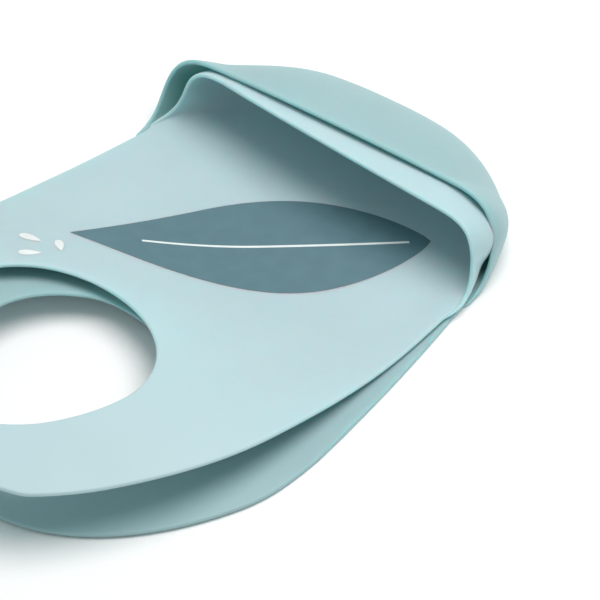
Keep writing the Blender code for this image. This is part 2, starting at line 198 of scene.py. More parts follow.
def smooth(t):
    """Runs from 0 to 1 with level ends."""
    t = min(max(t, 0.0), 1.0)
    return t * t * (3 - 2 * t)


def smooth_all(t):
    """Does what smooth does, for an array."""
    t = np.clip(t, 0, 1)
    return t * t * (3 - 2 * t)


def mix(a, b, t):
    return a + (b - a) * t


def eased(t):
    """Runs from 0 to 1, gently at first and then straight."""
    t = min(max(t, 0.0), 1.0)
    bent = t * t / (2 * TAPER_EASE) if t < TAPER_EASE else t - TAPER_EASE / 2
    return bent / (1 - TAPER_EASE / 2)


class Bib:
    """One bib's upper and inner face, as functions of plan position."""

    def __init__(self, **shape):
        self.__dict__.update(shape)

    def half_width(self, y):
        reach = EDGE_BACK if y < EDGE_WIDEST_Y else EDGE_FRONT
        return self.width * EDGE_HALF_WIDTH * math.sqrt(max(1 - ((y - EDGE_WIDEST_Y) / reach) ** 2, 0))

    def height(self, x, y):
        across = abs(x) / EDGE_HALF_WIDTH
        fall = self.fall[0] if x > 0 else self.fall[1]
        rise = smooth((self.rise_from - y) / (self.rise_from - self.rise_to))
        lift = mix(self.lift[1], self.lift[0], smooth((x - LIFT_BLEND[0]) / (LIFT_BLEND[1] - LIFT_BLEND[0])))
        return self.floor + lift * rise * (1 - fall * across**3) - self.roll * x

    def world(self, x, y, z):
        """Turns about the pouch, and bends sideways more and more towards the neck."""
        if self.bend == 0:
            return (CENTRE[0] + x, CENTRE[1] + y, z)
        rate = self.bend / BEND_LENGTH
        angle = self.turn + rate * (POUCH_MID_Y - y)
        centre_x = CENTRE[0] + self.at[0] + (math.cos(angle) - math.cos(self.turn)) / rate
        centre_y = CENTRE[1] + self.at[1] + POUCH_MID_Y + (math.sin(self.turn) - math.sin(angle)) / rate
        return (centre_x + x * math.cos(angle), centre_y - x * math.sin(angle), z)

    def panel(self, x, y):
        return self.world(x, y, self.height(x, y))

    def floor_edge(self, phi):
        """Where the pouch floor ends and its wall begins, from the side (0) to the middle (90 degrees)."""
        across = max(math.cos(phi), 0) ** (2 / FLOOR_POWER)
        along = math.sin(phi) ** (2 / FLOOR_POWER)
        side = self.half_width(POUCH_START_Y)
        squeeze = mix(FLOOR_SQUEEZE, 1.0, across**6)
        return side * across * squeeze, mix(POUCH_START_Y, self.floor_end, along)

    def rim(self, s, side):
        """The pouch's free rim, from where it leaves the side edge (0) to the middle (1), at x > 0."""
        x0 = self.half_width(POUCH_START_Y)
        z0 = self.height(side * x0, POUCH_START_Y)
        rim_half = self.rim_half[0 if side > 0 else 1]
        rim_bulge = self.rim_bulge[0 if side > 0 else 1]
        top = self.rim_height - self.roll * side * rim_half
        if s <= RIM_SPLIT:
            corner = self.rim_y - RIM_CORNER_INSET
            cage = (
                (x0, POUCH_START_Y, z0),
                (x0, POUCH_START_Y + self.start_run, z0),
                (rim_bulge, corner, z0 + RIM_CORNER_INSET),
                (rim_bulge, corner, top - RIM_CORNER_INSET),
                (rim_half, self.rim_y, top),
                (rim_half - self.rim_round, self.rim_y, top),
            )
            t = s / RIM_SPLIT
            weights = [math.comb(5, i) * t**i * (1 - t) ** (5 - i) for i in range(6)]
            return np.array([sum(w * p[axis] for w, p in zip(weights, cage)) for axis in range(3)])
        straight = rim_half - self.rim_round
        x = straight * (1 - s) / (1 - RIM_SPLIT)
        k = (x / straight) ** 2
        return np.array((x, mix(self.mid_y, self.rim_y, k), mix(self.mid_height, top, k)))

    def wall(self, phi, side, steps):
        """A line up the pouch wall from floor to rim, at this angle from the side (0) to the middle (90)."""
        s = RIM_SPLIT * phi / CORNER_PHI
        if phi > CORNER_PHI:
            s = mix(RIM_SPLIT, 1, (phi - CORNER_PHI) / (90 * DEG - CORNER_PHI))
        x, y = self.floor_edge(phi)
        foot = np.array((x, y, self.height(side * x, y)))
        rim = self.rim(min(s, 1.0), side)
        outward = np.array((math.cos(phi), math.sin(phi), 0))
        rise = np.linalg.norm(rim - foot)
        front = smooth((phi / (90 * DEG) - self.front[0]) * self.front[1])
        slope = mix(SIDE_SLOPE, self.brow_slope, front)
        reach = mix(self.brow[0], self.brow[1], front) * rise
        low = foot + outward * mix(self.foot[0], self.foot[1], front) * rise
        high = rim + outward * reach * math.cos(slope) - np.array((0, 0, reach * math.sin(slope)))
        t = np.linspace(0, 1, steps)[:, None]
        p = foot * (1 - t) ** 3 + low * 3 * t * (1 - t) ** 2 + high * 3 * t**2 * (1 - t) + rim * t**3
        return np.array([self.world(side * a, b, c) for a, b, c in p])

    def outer(self, q, side):
        """The panel's outer edge in plan on one side, from the middle of the pouch (0) to the strap (1)."""
        if q < POUCH_Q:
            return self.floor_edge(90 * DEG * (1 - q / POUCH_Q))
        if q < SIDE_Q:
            y = mix(POUCH_START_Y, EDGE_WIDEST_Y, (q - POUCH_Q) / (SIDE_Q - POUCH_Q))
            return self.half_width(y), y
        turned = self.sweep[0 if side > 0 else 1] * (q - SIDE_Q) / (1 - SIDE_Q)
        wide = self.width * EDGE_HALF_WIDTH
        return wide * math.cos(turned), EDGE_WIDEST_Y - EDGE_BACK * math.sin(turned)

    def neck(self, angle):
        """The neck hole's edge in plan, at this angle from +Y."""
        reach = NECK_FRONT if abs(angle) < 90 * DEG else NECK_BACK
        radius = 1 / math.hypot(math.sin(angle) / NECK_HALF_WIDTH, math.cos(angle) / reach)
        return radius * math.sin(angle), radius * math.cos(angle)

    def across(self, q, v, side):
        """A plan point of the panel at x > 0: v goes from the neck hole (0) to the outer edge (1)."""
        ox, oy = self.outer(q, side)
        angle = math.atan2(ox, oy) % (2 * math.pi)
        nx, ny = self.neck(angle)
        start, end, narrow = self.taper
        keep = mix(1, narrow, eased((angle - start) / (end - start)))
        return mix(nx, nx + (ox - nx) * keep, v), mix(ny, ny + (oy - ny) * keep, v)

    def tip(self, turned, v, side):
        """A plan point of the strap's round end, from its straight part (0) to its very tip (90)."""
        inner = Vector(self.across(1, 0, side))
        outer = Vector(self.across(1, 1, side))
        middle = (inner + outer) / 2
        half = (outer - inner) / 2
        onward = Vector((half.y, -half.x))
        if onward.x > 0:
            onward = -onward
        return middle + half * (2 * v - 1) * math.cos(turned) + onward * math.sin(turned)


def lengths(line):
    return np.concatenate([[0], np.cumsum(np.linalg.norm(np.diff(line, axis=0), axis=1))])


def at_lengths(line, wanted):
    travelled = lengths(line)
    return np.stack([np.interp(wanted, travelled, line[:, k]) for k in range(3)], 1)


def filleted(line, corner):
    """The line with the bend at this length along it rounded off."""
    total = lengths(line)[-1]
    count = max(int(total / LINE_STEP), 8)
    even = at_lengths(line, np.linspace(0, total, count))
    along = np.linspace(0, total, count)
    pad = int(3 * FILLET / LINE_STEP)
    kernel = np.exp(-0.5 * (np.arange(-pad, pad + 1) * LINE_STEP / FILLET) ** 2)
    kernel /= kernel.sum()
    if count <= pad + 1:
        return even
    before = 2 * even[:1] - even[pad:0:-1]
    after = 2 * even[-1:] - even[-2:-pad - 2:-1]
    padded = np.concatenate([before, even, after])
    soft = np.stack([np.convolve(padded[:, k], kernel, "valid") for k in range(3)], 1)
    near = np.clip(2 * smooth_all(1 - np.abs(along - corner) / (5 * FILLET)), 0, 1)
    ends = np.clip(np.minimum(along, total - along) / (2 * FILLET), 0, 1)
    weight = (near * ends)[:, None]
    return even * (1 - weight) + soft * weight


def column_line(bib, side, q):
    """The bib's upper face along one line, from the neck hole to the free edge or the pouch's rim."""
    plan = [bib.across(q, v, side) for v in np.linspace(0, 1, PANEL_STEPS)]
    panel = np.array([bib.panel(side * x, y) for x, y in plan])
    if q >= POUCH_Q - Q_SLACK:
        return panel
    wall = bib.wall(90 * DEG * (1 - q / POUCH_Q), side, WALL_STEPS)
    return filleted(np.vstack([panel, wall[1:]]), lengths(panel)[-1])


def column_places(bib, side):
    """q values about COLUMN_STEP apart along the outer edge, closer at the rib, and their offsets."""
    pouch = np.linspace(0, POUCH_Q, POUCH_SAMPLES)[:-1]
    dense = np.concatenate([pouch, np.linspace(POUCH_Q, 1, STRAP_SAMPLES)])
    ends = np.array([column_line(bib, side, q)[-1] for q in dense])
    feet = np.array([bib.panel(side * x, y) for x, y in (bib.outer(q, side) for q in dense)])
    travelled = np.maximum.accumulate(0.5 * lengths(ends) + 0.5 * lengths(feet))
    rib = np.interp(POUCH_Q * (1 - RIB_PHI / (90 * DEG)), dense, travelled)
    along = np.linspace(0, travelled[-1], int(travelled[-1] / COLUMN_STEP))
    along = along[np.abs(along - rib) > 0.65 * RIB_WIDTH]
    along = np.sort(np.concatenate([along, rib + RIB_COLUMNS]))
    return np.interp(along, travelled, dense), along - rib


def rib_rise(bib, offset, below_rim):
    """How far the rib stands out of the inner face, at one column's points, this far below the rim."""
    ends = np.minimum(below_rim - RIB_BELOW_RIM, RIB_BELOW_RIM + RIB_LENGTH - below_rim)
    flank = smooth((RIB_WIDTH / 2 - abs(offset)) / RIB_SIDE)
    return bib.rib_height * flank * smooth_all(ends / RIB_END)


def row_fractions(total, slant):
    """Distances along a column: close together round each free edge, and even between."""
    rim = HALF_WALL * (1 - np.cos(RIM_ANGLES)) / slant
    inner = np.linspace(rim[-1], total - rim[-1], INNER_ROWS)[1:-1]
    return np.concatenate([rim, inner, total - rim[::-1]])


RIM_HALF = HALF_WALL * np.sin(RIM_ANGLES)
ROW_HALF = np.concatenate([RIM_HALF, np.full(INNER_ROWS - 2, HALF_WALL), RIM_HALF[::-1]])


def half_surface(bib, side):
    """One side's columns, from the pouch's middle to the strap's tip: places, half thickness, rib rise."""
    places, offsets = column_places(bib, side)
    lines = [column_line(bib, side, q) for q in places]
    ends = np.array([line[-1] for line in lines])
    tangents = np.gradient(ends, axis=0)
    positions, halves, rises = [], [], []
    for line, tangent, offset in zip(lines, tangents, offsets):
        ahead = line[-1] - at_lengths(line, [max(lengths(line)[-1] - 3 * MM, 0)])[0]
        sizes = np.linalg.norm(ahead) * np.linalg.norm(tangent) + SMALLEST
        sine = np.linalg.norm(np.cross(ahead, tangent)) / sizes
        rows = row_fractions(lengths(line)[-1], max(sine, LEAST_SLANT))
        positions.append(at_lengths(line, rows))
        halves.append(ROW_HALF)
        rises.append(rib_rise(bib, offset, rows[-1] - rows))
    last = lines[-1]
    share = row_fractions(lengths(last)[-1], 1.0) / lengths(last)[-1]
    radius = lengths(last)[-1] / 2
    sines = np.sin(np.linspace(0, TIP_SWEEP, TIP_COLUMNS) * DEG)[1:]
    sines = np.concatenate([sines, 1 - HALF_WALL * (1 - np.cos(RIM_ANGLES[::-1])) / radius])
    for sine in sorted(sines):
        turned = math.asin(min(sine, 1))
        row, half = [], []
        for v in share:
            p = bib.tip(turned, v, side)
            row.append(bib.panel(side * p.x, p.y))
            depth = radius * (1 - math.hypot((2 * v - 1) * math.cos(turned), sine))
            depth = min(max(depth, 0), HALF_WALL)
            half.append(math.sqrt(max(HALF_WALL**2 - (HALF_WALL - depth) ** 2, 0)))
        positions.append(np.array(row))
        halves.append(np.array(half))
        rises.append(np.zeros(len(half)))
    return np.array(positions), np.array(halves), np.array(rises)


def normals_of(surface):
    """Unit normals of a grid of points."""
    along = np.gradient(surface, axis=1)
    across = np.gradient(surface, axis=0)
    normal = np.cross(across, along)
    size = np.linalg.norm(normal, axis=2, keepdims=True)
    return normal / np.maximum(size, SMALLEST)


def whole_surface(bib):
    """The whole bib as columns from the stud strap's tip round the pouch to the hole strap's tip."""
    right, right_half, right_rise = half_surface(bib, 1)
    left, left_half, left_rise = half_surface(bib, -1)
    surface = np.concatenate([right[::-1], left[1:]])
    half = np.concatenate([right_half[::-1], left_half[1:]])
    rise = np.concatenate([right_rise[::-1], left_rise[1:]])
    first = len(right) - 1
    normal = normals_of(surface)
    if normal[first, 10, 2] < 0:
        normal = -normal
    # The round tips' last columns are too short to have normals of their own.
    for i in range(TIP_FLATS - 1, -1, -1):
        normal[i] = normal[i + 1]
    for i in range(len(surface) - TIP_FLATS, len(surface)):
        normal[i] = normal[i - 1]
    return surface, half, rise, normal, first


def shell(surface, half, rise, normal):
    """The closed skin round the surface: a ring of points for each column."""
    middle = surface - normal * HALF_WALL
    top = middle + normal * (half + rise)[..., None]
    bottom = middle - normal * half[..., None]
    return np.concatenate([top, bottom[:, -2:0:-1]], axis=1)


def mesh_from_rings(name, rings):
    """An open tube of quads through the rings."""
    columns, count = rings.shape[:2]
    points = rings.reshape(-1, 3)
    index = np.arange(columns * count).reshape(columns, count)
    a, b = index[:-1], index[1:]
    quads = np.stack([a, np.roll(a, -1, 1), np.roll(b, -1, 1), b], -1).reshape(-1, 4)
    mesh = bpy.data.meshes.new(name)
    mesh.from_pydata(points.tolist(), [], quads.tolist())
    mesh.update()
    return mesh


def add_piece(name, mesh):
    """Puts a mesh in the scene as an object."""
    obj = bpy.data.objects.new(name, mesh)
    bpy.context.scene.collection.objects.link(obj)
    return obj


def ring_normals(rings):
    """Smooth normals of the whole skin, so that pieces cut from it shade as one."""
    along = np.roll(rings, -1, 1) - np.roll(rings, 1, 1)
    across = np.gradient(rings, axis=0)
    normal = np.cross(along, across)
    size = np.linalg.norm(normal, axis=2, keepdims=True)
    return normal / np.maximum(size, SMALLEST)


def weld(mesh):
    """Merges points that coincide and faces everything outward."""
    bm = bmesh.new()
    bm.from_mesh(mesh)
    bmesh.ops.remove_doubles(bm, verts=bm.verts, dist=WELD)
    bmesh.ops.recalc_face_normals(bm, faces=bm.faces)
    bm.to_mesh(mesh)
    bm.free()


def clean(mesh):
    """Merges the points that meet at a strap's tip."""
    bm = bmesh.new()
    bm.from_mesh(mesh)
    bmesh.ops.remove_doubles(bm, verts=bm.verts, dist=TIP_WELD)
    bmesh.ops.dissolve_degenerate(bm, edges=bm.edges, dist=SHORTEST_EDGE)
    bm.to_mesh(mesh)
    bm.free()


def set_normals(mesh, points, normals):
    """Gives each vertex the whole skin's normal, by position."""
    mesh.shade_smooth()
    flat = points.reshape(-1, 3)
    tree = KDTree(len(flat))
    for i, p in enumerate(flat):
        tree.insert(p, i)
    tree.balance()
    skin = normals.reshape(-1, 3)
    found = []
    for vertex in mesh.vertices:
        _, i, away = tree.find(vertex.co)
        found.append(tuple(skin[i]) if away < SAME_POINT else tuple(vertex.normal))
    mesh.normals_split_custom_set_from_vertices(found)


def seam_column(surface, root_y, side_first):
    """The column nearest the strap that lies wholly in front of the hinge line."""
    middle = len(surface) // 2
    order = range(0, middle) if side_first else range(len(surface) - 1, middle, -1)
    for i in order:
        if surface[i, :, 1].min() > root_y + SEAM_CLEAR:
            return i
    raise ValueError("no column lies in front of the hinge line")


def stations(bib, side, count):
    """Plan points along the strap's middle line, HOLE_PITCH apart."""
    line = [Vector(bib.across(q, 0.5, side)) for q in np.linspace(1, SIDE_Q, 120)]
    found, travelled = [], 0.0
    wanted = [FIRST_STATION + i * HOLE_PITCH for i in range(count)]
    for here, after in zip(line, line[1:]):
        step = (after - here).length
        while wanted and travelled + step >= wanted[0]:
            found.append(here.lerp(after, (wanted.pop(0) - travelled) / step))
        travelled += step
    return [(side * p.x, p.y) for p in found]


def facing(bib, x, y):
    """The panel's place in the world, and its upward normal, at this plan point."""
    spread = 2 * MM
    here = Vector(bib.panel(x, y))
    sideways = Vector(bib.panel(x + spread, y)) - here
    onward = Vector(bib.panel(x, y + spread)) - here
    return here, sideways.cross(onward).normalized()


def lathe(name, profile, here, normal):
    """A turned shape standing at this place along this direction."""
    turn = normal.to_track_quat("Z", "Y").to_matrix()
    rings = []
    for a in np.linspace(0, 2 * math.pi, ROUND_STEPS, endpoint=False):
        ring = [Vector((r * math.cos(a), r * math.sin(a), z)) for r, z in profile]
        rings.append([tuple(here + turn @ point) for point in ring])
    rings = np.array(rings)
    count = len(profile)
    index = np.arange(ROUND_STEPS * count).reshape(ROUND_STEPS, count)
    a, b = index, np.roll(index, -1, 0)
    quads = np.stack([a[:, :-1], b[:, :-1], b[:, 1:], a[:, 1:]], -1).reshape(-1, 4)
    mesh = bpy.data.meshes.new(name)
    mesh.from_pydata(rings.reshape(-1, 3).tolist(), [], quads.tolist())
    weld(mesh)
    mesh.shade_smooth()
    return mesh


def stud_profile():
    """A mushroom stud: a flared foot sunk in the strap, a stem, and a domed head."""
    points = [(0, -STUD_SUNK), (STUD_STEM_RADIUS + STUD_FLARE, -STUD_SUNK)]
    for a in np.linspace(0, 90, 6) * DEG:
        points.append((STUD_STEM_RADIUS + STUD_FLARE * (1 - math.sin(a)), STUD_FLARE * (1 - math.cos(a))))
    z = STUD_STEM_HEIGHT
    points.append((STUD_STEM_RADIUS, z - STUD_UNDERCUT_HEIGHT))
    points.append((STUD_STEM_RADIUS + STUD_UNDERCUT, z))
    z += STUD_LIP
    for a in np.linspace(-90, 0, 5) * DEG:
        points.append((STUD_HEAD_RADIUS - STUD_LIP * (1 - math.cos(a)), z + STUD_LIP * math.sin(a)))
    for a in np.linspace(8, 90, 12) * DEG:
        points.append((STUD_HEAD_RADIUS * math.cos(a), z + (STUD_HEAD_HEIGHT - STUD_LIP) * math.sin(a)))
    points[-1] = (0, points[-1][1])
    return points


def hole_profile():
    """A waisted cutter, so that the hole's edges come out rounded."""
    wide = HOLE_RADIUS + HOLE_ROUND
    points = [(0, -CUTTER_REACH), (wide, -CUTTER_REACH)]
    for a in np.linspace(-90, 90, 13) * DEG:
        points.append((wide - HOLE_ROUND * math.cos(a), HALF_WALL * math.sin(a)))
    return points + [(wide, CUTTER_REACH), (0, CUTTER_REACH)]


def evaluated_mesh(obj):
    """A new mesh of the object with its modifiers applied."""
    bpy.context.view_layer.update()
    return bpy.data.meshes.new_from_object(obj.evaluated_get(bpy.context.evaluated_depsgraph_get()))


def cut_holes(strap, bib, side):
    """Cuts the strap's row of holes through it."""
    for i, (x, y) in enumerate(stations(bib, side, HOLE_COUNT)):
        here, normal = facing(bib, x, y)
        mesh = lathe(f"cutter_{strap.name}_{i}", hole_profile(), here - normal * HALF_WALL, normal)
        cutter = add_piece(mesh.name, mesh)
        cut = strap.modifiers.new("hole", "BOOLEAN")
        cut.operation = "DIFFERENCE"
        cut.solver = "EXACT"
        cut.object = cutter
        done = evaluated_mesh(strap)
        strap.modifiers.clear()
        strap.data = done
        bpy.data.objects.remove(cutter, do_unlink=True)


def cap_ends(mesh):
    """Closes the open end where a strap is cut from its bib."""
    bm = bmesh.new()
    bm.from_mesh(mesh)
    edges = [e for e in bm.edges if e.is_boundary]
    bmesh.ops.edgeloop_fill(bm, edges=edges)
    bmesh.ops.recalc_face_normals(bm, faces=bm.faces)
    bm.to_mesh(mesh)
    bm.free()


def make_bib(prefix, bib, root_y, mat):
    """One bib's skin, cut into its body and its two straps."""
    surface, half, rise, normal, first = whole_surface(bib)
    rings = shell(surface, half, rise, normal)
    if ring_normals(rings)[first, 20, 2] < 0:
        rings = rings[:, ::-1]
    skin = ring_normals(rings)
    cut_right = seam_column(surface, root_y, True)
    cut_left = seam_column(surface, root_y, False)
    made = {}
    for name, low, high in (
        (f"{prefix}_stud_strap_skin", 0, cut_right + 1),
        (f"{prefix}_body_skin", cut_right, cut_left + 1),
        (f"{prefix}_hole_strap_skin", cut_left, len(rings)),
    ):
        mesh = mesh_from_rings(name, rings[low:high])
        clean(mesh)
        cap_ends(mesh)
        obj = add_piece(name, mesh)
        if name.endswith("hole_strap_skin"):
            cut_holes(obj, bib, -1)
            obj.data.name = name
        set_normals(obj.data, rings, skin)
        obj.data.materials.clear()
        obj.data.materials.append(mat)
        made[name.replace("_skin", "").replace(f"{prefix}_", "")] = obj
    return made


def flat_plate(name, points):
    """A closed plan outline made into a thick plate, for cutting a print from a sheet."""
    curve = bpy.data.curves.new(name, "CURVE")
    curve.dimensions = "2D"
    curve.fill_mode = "BOTH"
    curve.extrude = PLATE_HALF
    spline = curve.splines.new("POLY")
    spline.points.add(len(points) - 1)
    for knot, (x, y) in zip(spline.points, points):
        knot.co = (x, y, 0, 1)
    spline.use_cyclic_u = True
    outline = bpy.data.objects.new(name, curve)
    bpy.context.scene.collection.objects.link(outline)
    mesh = evaluated_mesh(outline)
    bpy.data.objects.remove(outline, do_unlink=True)
    weld(mesh)
    return add_piece(name, mesh)


def make_print(name, bib, tree, plate, mat, holes=()):
    """A thin printed layer: a flat sheet cut to the outline, then laid on the bib's own surface."""
    corners = np.array([v.co[:2] for v in plate.data.vertices])
    low = corners.min(0) - INK_CELL / 2
    high = corners.max(0) + INK_CELL / 2
    columns, rows = (math.ceil(size / INK_CELL) for size in high - low)
    bm = bmesh.new()
    bmesh.ops.create_grid(bm, x_segments=columns, y_segments=rows, size=0.5)
    for vertex in bm.verts:
        u, v, _ = vertex.co
        vertex.co = (mix(low[0], high[0], u + 0.5), mix(low[1], high[1], v + 0.5), INK)
    mesh = bpy.data.meshes.new(name + "_sheet")
    bm.to_mesh(mesh)
    bm.free()
    sheet = add_piece(name + "_sheet", mesh)
    solid = sheet.modifiers.new("ink", "SOLIDIFY")
    solid.thickness = INK
    solid.offset = -1
    for operation, other in [("INTERSECT", plate)] + [("DIFFERENCE", hole) for hole in holes]:
        cut = sheet.modifiers.new(operation.lower(), "BOOLEAN")
        cut.operation = operation
        cut.solver = "EXACT"
        cut.object = other
    mesh = evaluated_mesh(sheet)
    bpy.data.objects.remove(sheet, do_unlink=True)
    mesh.name = name
    for vertex in mesh.vertices:
        x, y, z = vertex.co
        wx, wy, wz = bib.panel(x, y)
        hit = tree.ray_cast(Vector((wx, wy, wz + PROBE_ABOVE)), Vector((0, 0, -1)), PROBE_LENGTH)
        ground = hit[0].z if hit[0] is not None else wz
        vertex.co = (wx, wy, ground + z - INK_SINK)
    mesh.materials.clear()
    mesh.materials.append(mat)
    mesh.shade_smooth()
    mesh.set_sharp_from_angle(angle=SHARP_ANGLE)
    return add_piece(name, mesh)


def leaf():
    """A leaf's outline: widest nearer its stalk, and drawn out to its tip."""
    stalk = Vector(LEAF_STALK)
    tip = Vector(LEAF_TIP)
    out = (tip - stalk).normalized()
    out = Vector((-out.y, out.x)) * LEAF_HALF_WIDTH
    line = []
    for t in np.linspace(0, 1, LEAF_STEPS, endpoint=False):
        line.append(stalk.lerp(tip, t) + out * math.sin(math.pi * t**LEAF_LEAN))
    for t in np.linspace(1, 0, LEAF_STEPS, endpoint=False):
        line.append(stalk.lerp(tip, t) - out * math.sin(math.pi * t**LEAF_LEAN))
    return [tuple(p) for p in line]


def vein():
    """The outline of the leaf's middle vein."""
    stalk = Vector(LEAF_STALK)
    tip = Vector(LEAF_TIP)
    along = (tip - stalk).normalized()
    out = Vector((-along.y, along.x)) * VEIN_WIDTH / 2
    start = stalk.lerp(tip, VEIN_FROM)
    end = stalk.lerp(tip, VEIN_TO)
    return [tuple(p) for p in (start + out, start - out, end - out, end + out)]


def drop(centre, length, heading):
    """Corners of a water drop: round behind, and drawn out to a point ahead."""
    corners = []
    for a in np.linspace(0, 2 * math.pi, ROUND_STEPS, endpoint=False):
        along = -length / 2 * math.cos(a)
        across = length * DROP_FATNESS * math.sin(a) * math.sin(a / 2)
        corners.append(
            (
                centre[0] + along * math.cos(heading) - across * math.sin(heading),
                centre[1] + along * math.sin(heading) + across * math.cos(heading),
            )
        )
    return corners


def node(tree, kind, at, **values):
    """A shader node: each value sets the input of that name, or else the node's own setting."""
    made = tree.nodes.new(kind)
    made.location = at
    for key, value in values.items():
        if key in made.inputs:
            made.inputs[key].default_value = value
        else:
            setattr(made, key, value)
    return made


def silicone(name, colour, rough):
    """Matte moulded silicone: fine grain, slow clouding, a painted highlight that makes sharp edges paler,
    and light scattering in the pouch.
    """
    mat = bpy.data.materials.new(name)
    mat.use_nodes = True
    tree = mat.node_tree
    link = tree.links.new
    shader = tree.nodes["Principled BSDF"]
    shader.inputs["Specular IOR Level"].default_value = SPECULAR
    shader.inputs["Subsurface Radius"].default_value = SCATTER_RADIUS
    shader.inputs["Subsurface Scale"].default_value = SCATTER_SCALE
    where = node(tree, "ShaderNodeTexCoord", (-1400, 0))
    split = node(tree, "ShaderNodeSeparateXYZ", (-1100, 900))
    deep = node(tree, "ShaderNodeMapRange", (-850, 900), interpolation_type="SMOOTHSTEP")
    deep.inputs["From Min"].default_value = SCATTER_FROM_Y
    deep.inputs["From Max"].default_value = SCATTER_FULL_Y
    link(where.outputs["Object"], split.inputs["Vector"])
    link(split.outputs["Y"], deep.inputs["Value"])
    link(deep.outputs["Result"], shader.inputs["Subsurface Weight"])
    cloud = node(tree, "ShaderNodeTexNoise", (-1100, 300), Scale=14.0, Detail=3.0)
    tint = node(tree, "ShaderNodeValToRGB", (-850, 300))
    tint.color_ramp.elements[0].position = 0.3
    tint.color_ramp.elements[0].color = (*[c * 0.965 for c in colour], 1)
    tint.color_ramp.elements[1].position = 0.7
    tint.color_ramp.elements[1].color = (*[min(c * 1.02, 1) for c in colour], 1)
    # Painted highlight: sharp edges, found by pointiness, get a paler colour like the light line that
    # rounded rims catch.
    shape = node(tree, "ShaderNodeNewGeometry", (-1100, 600))
    edge = node(tree, "ShaderNodeValToRGB", (-850, 600))
    edge.color_ramp.elements[0].position = 0.52
    edge.color_ramp.elements[0].color = (0, 0, 0, 1)
    edge.color_ramp.elements[1].position = 0.64
    edge.color_ramp.elements[1].color = (0.3, 0.3, 0.3, 1)
    painted_edge_highlight = node(tree, "ShaderNodeMix", (-500, 400), data_type="RGBA")
    painted_edge_highlight.inputs[7].default_value = (*[min(c * 1.2, 1) for c in colour], 1)
    haze = node(tree, "ShaderNodeTexNoise", (-1100, 0), Scale=45.0, Detail=4.0)
    gloss = node(tree, "ShaderNodeMapRange", (-850, 0))
    gloss.inputs["To Min"].default_value = rough - 0.05
    gloss.inputs["To Max"].default_value = rough + 0.06
    grain = node(tree, "ShaderNodeTexNoise", (-1100, -300), Scale=2200.0, Detail=2.0)
    ripple = node(tree, "ShaderNodeTexNoise", (-1100, -550), Scale=60.0, Detail=2.0)
    fine = node(tree, "ShaderNodeBump", (-500, -300), Strength=0.12, Distance=GRAIN_DEPTH)
    broad = node(tree, "ShaderNodeBump", (-250, -300), Strength=0.05, Distance=0.001)
    for texture in (cloud, haze, grain, ripple):
        link(where.outputs["Object"], texture.inputs["Vector"])
    link(cloud.outputs["Fac"], tint.inputs["Fac"])
    link(shape.outputs["Pointiness"], edge.inputs["Fac"])
    link(edge.outputs["Color"], painted_edge_highlight.inputs[0])
    link(tint.outputs["Color"], painted_edge_highlight.inputs[6])
    link(painted_edge_highlight.outputs[2], shader.inputs["Base Color"])
    link(haze.outputs["Fac"], gloss.inputs["Value"])
    link(gloss.outputs["Result"], shader.inputs["Roughness"])
    link(grain.outputs["Fac"], fine.inputs["Height"])
    link(ripple.outputs["Fac"], broad.inputs["Height"])
    link(fine.outputs["Normal"], broad.inputs["Normal"])
    link(broad.outputs["Normal"], shader.inputs["Normal"])
    return mat


def ink(name, colour, rough):
    """Screen-printed ink: slightly mottled, with a faint weave of its own."""
    mat = bpy.data.materials.new(name)
    mat.use_nodes = True
    tree = mat.node_tree
    link = tree.links.new
    shader = tree.nodes["Principled BSDF"]
    shader.inputs["Specular IOR Level"].default_value = SPECULAR
    where = node(tree, "ShaderNodeTexCoord", (-1200, 0))
    mottle = node(tree, "ShaderNodeTexNoise", (-900, 200), Scale=120.0, Detail=5.0)
    tint = node(tree, "ShaderNodeValToRGB", (-650, 200))
    tint.color_ramp.elements[0].position = 0.3
    tint.color_ramp.elements[0].color = (*[c * 0.95 for c in colour], 1)
    tint.color_ramp.elements[1].position = 0.7
    tint.color_ramp.elements[1].color = (*[min(c * 1.05, 1) for c in colour], 1)
    gloss = node(tree, "ShaderNodeMapRange", (-650, -50))
    gloss.inputs["To Min"].default_value = rough - 0.06
    gloss.inputs["To Max"].default_value = rough + 0.06
    grain = node(tree, "ShaderNodeTexNoise", (-900, -300), Scale=2600.0, Detail=2.0)
    bump = node(tree, "ShaderNodeBump", (-400, -300), Strength=0.12, Distance=GRAIN_DEPTH)
    for texture in (mottle, grain):
        link(where.outputs["Object"], texture.inputs["Vector"])
    link(mottle.outputs["Fac"], tint.inputs["Fac"])
    link(tint.outputs["Color"], shader.inputs["Base Color"])
    link(mottle.outputs["Fac"], gloss.inputs["Value"])
    link(gloss.outputs["Result"], shader.inputs["Roughness"])
    link(grain.outputs["Fac"], bump.inputs["Height"])
    link(bump.outputs["Normal"], shader.inputs["Normal"])
    return mat


def make_prints(bib, body):
    """The printed layers on the bib's body, by the name of the CAD part that each one replaces."""
    tree = BVHTree.FromObject(body, bpy.context.evaluated_depsgraph_get())
    blade = flat_plate("cut_leaf", leaf())
    vein_slot = flat_plate("cut_vein", vein())
    prints = {
        "print_leaf": make_print("ink_leaf", bib, tree, blade, slate, (vein_slot,)),
        "print_leaf_vein": make_print("ink_leaf_vein", bib, tree, vein_slot, white),
    }
    used = [blade, vein_slot]
    for i, (x, y, length, heading) in enumerate(DROPS):
        plate = flat_plate(f"cut_drop_{i + 1}", drop((x * MM, y * MM), length * MM, heading * DEG))
        prints[f"print_drop_{i + 1}"] = make_print(f"ink_drop_{i + 1}", bib, tree, plate, white)
        used.append(plate)
    for plate in used:
        bpy.data.objects.remove(plate, do_unlink=True)
    return prints


lower = Bib(**LOWER)
upper = Bib(**UPPER)
